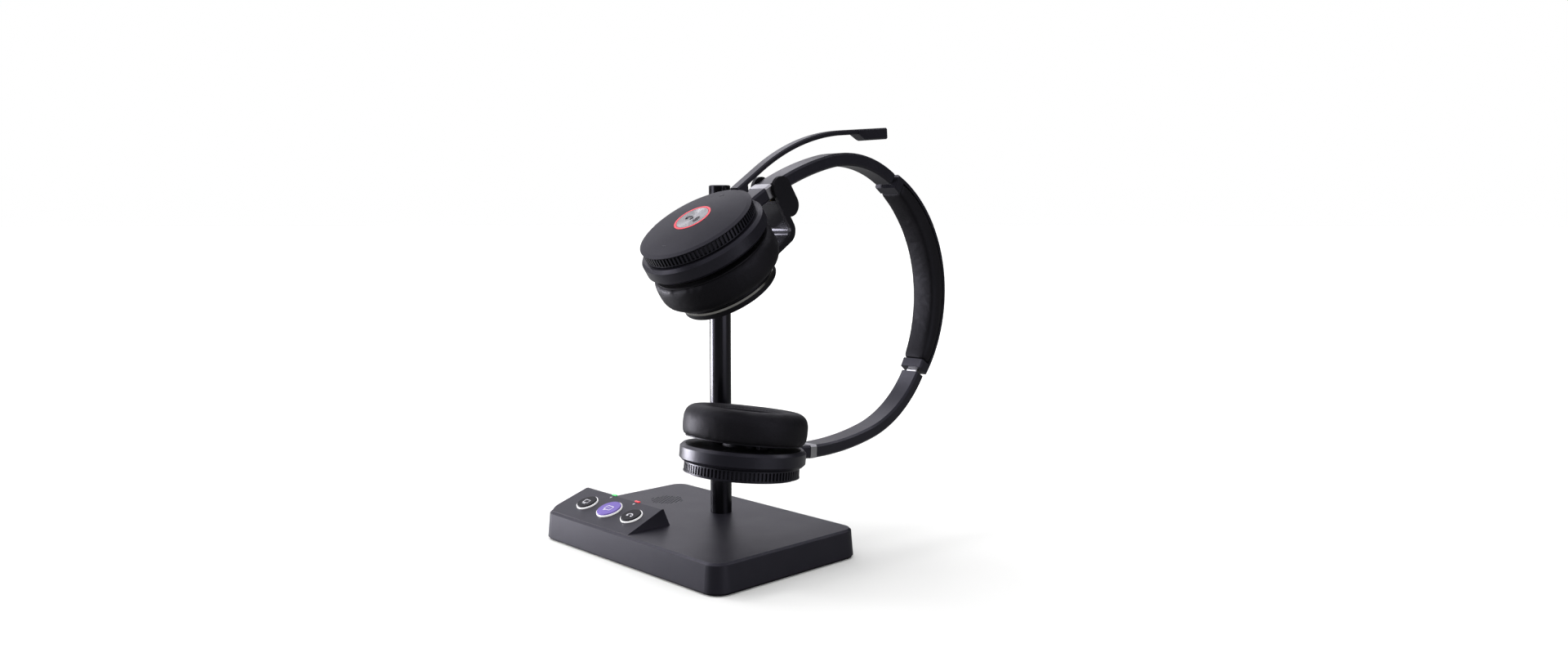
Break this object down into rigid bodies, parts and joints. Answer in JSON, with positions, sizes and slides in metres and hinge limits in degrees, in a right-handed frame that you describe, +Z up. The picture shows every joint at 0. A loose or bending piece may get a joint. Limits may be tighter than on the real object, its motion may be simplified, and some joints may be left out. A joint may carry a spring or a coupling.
{
  "type": "office headset on a charging stand",
  "caption": "Wireless office headset with boom microphone, resting on a charging stand with call keys on its base.",
  "frame": {"origin": "centre of the base's underside", "axes": "+Z up, +X along the base toward its right end, -Y toward the user, who faces the three keys"},
  "size_m": [0.1526, 0.2178, 0.2339],
  "materials": {
    "grey_shell": "fine matte texture",
    "cup_shell": "satin",
    "black_plastic": "matte",
    "dark_gloss": "glossy dark grey",
    "black_gloss": "polished",
    "black_rubber": "matte",
    "chrome_trim": "bright",
    "steel": "plain",
    "accent_metal": "satin",
    "brushed_button": "circular brushed",
    "leatherette": "soft black leatherette",
    "purple_key": "satin purple",
    "white_light": "lit white",
    "red_light": "lit red ring",
    "status_light": "one green and one red lens",
    "circuit_board": "solder mask",
    "cell_wrap": "foil",
    "gold_contact": "gold flash",
    "driver_paper": "cone and basket",
    "pad_foam": "soft dark pad"
  },
  "bodies": {
    "stand": {"base_shell": "grey_shell", "bottom_plate": "black_plastic", "anti_slip_pad": "black_rubber", "ballast_plate": "steel", "base_screws": "steel", "main_board": "circuit_board", "port_sockets": "steel", "base_speaker": "driver_paper", "key_board": "circuit_board", "key_lights": "white_light", "status_lights": "status_light", "post_tube": "black_gloss", "post_cap": "black_gloss", "post_nut": "steel", "dock_arm": "dark_gloss", "dock_cheeks": "black_plastic", "charge_pins": "gold_contact", "dock_dish": "black_plastic", "dock_magnet": "steel", "dock_rim": "chrome_trim", "dock_bracket": "black_plastic"},
    "computer_key": {"computer_key": "black_gloss"},
    "app_key": {"app_key": "purple_key"},
    "phone_key": {"phone_key": "black_gloss"},
    "upper_speaker": {"upper_cushion": "leatherette", "upper_speaker_pan": "black_plastic", "upper_driver": "driver_paper"},
    "upper_cup": {"upper_housing": "cup_shell", "upper_chassis": "black_plastic", "upper_pivot_pin": "steel", "control_board": "circuit_board", "upper_arm_outer": "cup_shell", "upper_arm_inner": "cup_shell", "upper_accent": "accent_metal", "upper_tongue": "steel"},
    "volume_plate": {"volume_plate": "cup_shell", "light_ring": "red_light"},
    "call_button": {"call_button": "brushed_button"},
    "boom": {"boom_ring": "black_plastic", "boom_arm": "cup_shell", "mic_tip": "cup_shell", "mic_capsule": "black_plastic"},
    "band": {"band_shell": "cup_shell", "band_spring": "steel", "band_cushion": "pad_foam", "upper_end_cap": "accent_metal", "lower_end_cap": "accent_metal"},
    "lower_cup": {"lower_housing": "cup_shell", "lower_chassis": "black_plastic", "lower_pivot_pin": "steel", "lower_cover": "cup_shell", "battery": "cell_wrap", "lower_arm_outer": "cup_shell", "lower_arm_inner": "cup_shell", "lower_accent": "accent_metal", "lower_tongue": "steel"},
    "lower_speaker": {"lower_cushion": "leatherette", "lower_speaker_pan": "black_plastic", "lower_driver": "driver_paper"}
  },
  "joints": [
    {"name": "headset_lift", "type": "slide", "parent": "stand", "child": "upper_speaker", "axis": [0, -0.5592, 0.829], "range_m": [0, 0.04]},
    {"name": "upper_cup_tilt", "type": "hinge", "parent": "upper_speaker", "child": "upper_cup", "pos_m": [0.039, -0.02316, 0.16666], "axis": [1, 0, 0], "range_deg": [0, 4]},
    {"name": "volume_rock", "type": "hinge", "parent": "upper_cup", "child": "volume_plate", "pos_m": [0.039, -0.03144, 0.17893], "axis": [1, 0, 0], "range_deg": [-0.7, 0.7], "stiffness_Nm_per_rad": 8},
    {"name": "call_press", "type": "slide", "parent": "upper_cup", "child": "call_button", "axis": [0, 0.5592, -0.829], "range_m": [0, 0.0006], "stiffness_N_per_m": 800},
    {"name": "boom_swing", "type": "hinge", "parent": "upper_cup", "child": "boom", "pos_m": [0.039, -0.032, 0.17976], "axis": [0, 0.5592, -0.829], "range_deg": [0, 300]},
    {"name": "upper_slider", "type": "slide", "parent": "upper_cup", "child": "band", "axis": [0, 0.8829, -0.4695], "range_m": [0, 0.014]},
    {"name": "lower_slider", "type": "slide", "parent": "band", "child": "lower_cup", "axis": [0, -0.5878, -0.809], "range_m": [0, 0.014]},
    {"name": "lower_cup_tilt", "type": "hinge", "parent": "lower_cup", "child": "lower_speaker", "pos_m": [0.039, 0.00025, 0.06296], "axis": [1, 0, 0], "range_deg": [-1.5, 5]},
    {"name": "computer_key_press", "type": "slide", "parent": "stand", "child": "computer_key", "axis": [0, 0.3223, -0.9466], "range_m": [0, 0.0007], "stiffness_N_per_m": 800},
    {"name": "app_key_press", "type": "slide", "parent": "stand", "child": "app_key", "axis": [0, 0.3223, -0.9466], "range_m": [0, 0.0007], "stiffness_N_per_m": 800},
    {"name": "phone_key_press", "type": "slide", "parent": "stand", "child": "phone_key", "axis": [0, 0.3223, -0.9466], "range_m": [0, 0.0007], "stiffness_N_per_m": 800}
  ]
}
